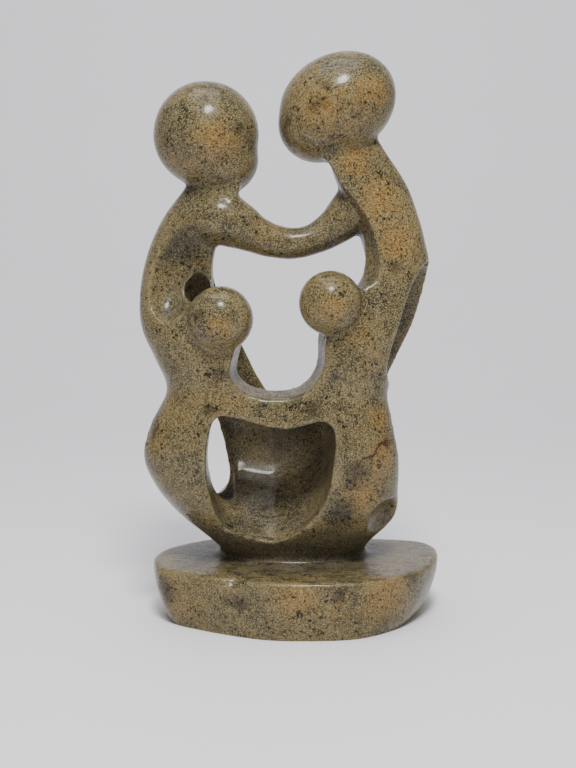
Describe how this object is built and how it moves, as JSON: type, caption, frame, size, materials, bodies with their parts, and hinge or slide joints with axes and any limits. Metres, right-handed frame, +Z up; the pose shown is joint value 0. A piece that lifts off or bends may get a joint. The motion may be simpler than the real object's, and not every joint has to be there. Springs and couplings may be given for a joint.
{
  "type": "family group sculpture",
  "caption": "Standing carved stone group of two parents and two children with plain ball heads, joined arms and windows, on a low oval base of the same stone.",
  "frame": {"origin": "centre of the outline, level with the flat underside of the base", "axes": "+Z up, -Y towards the front, where the children are; +X towards the taller parent"},
  "size_m": [0.1346, 0.0816, 0.251],
  "materials": {
    "stone": "polished mottled serpentine, olive brown with ochre patches and dark flecks"
  },
  "bodies": {
    "root": {"family_group": "stone"}
  },
  "joints": []
}
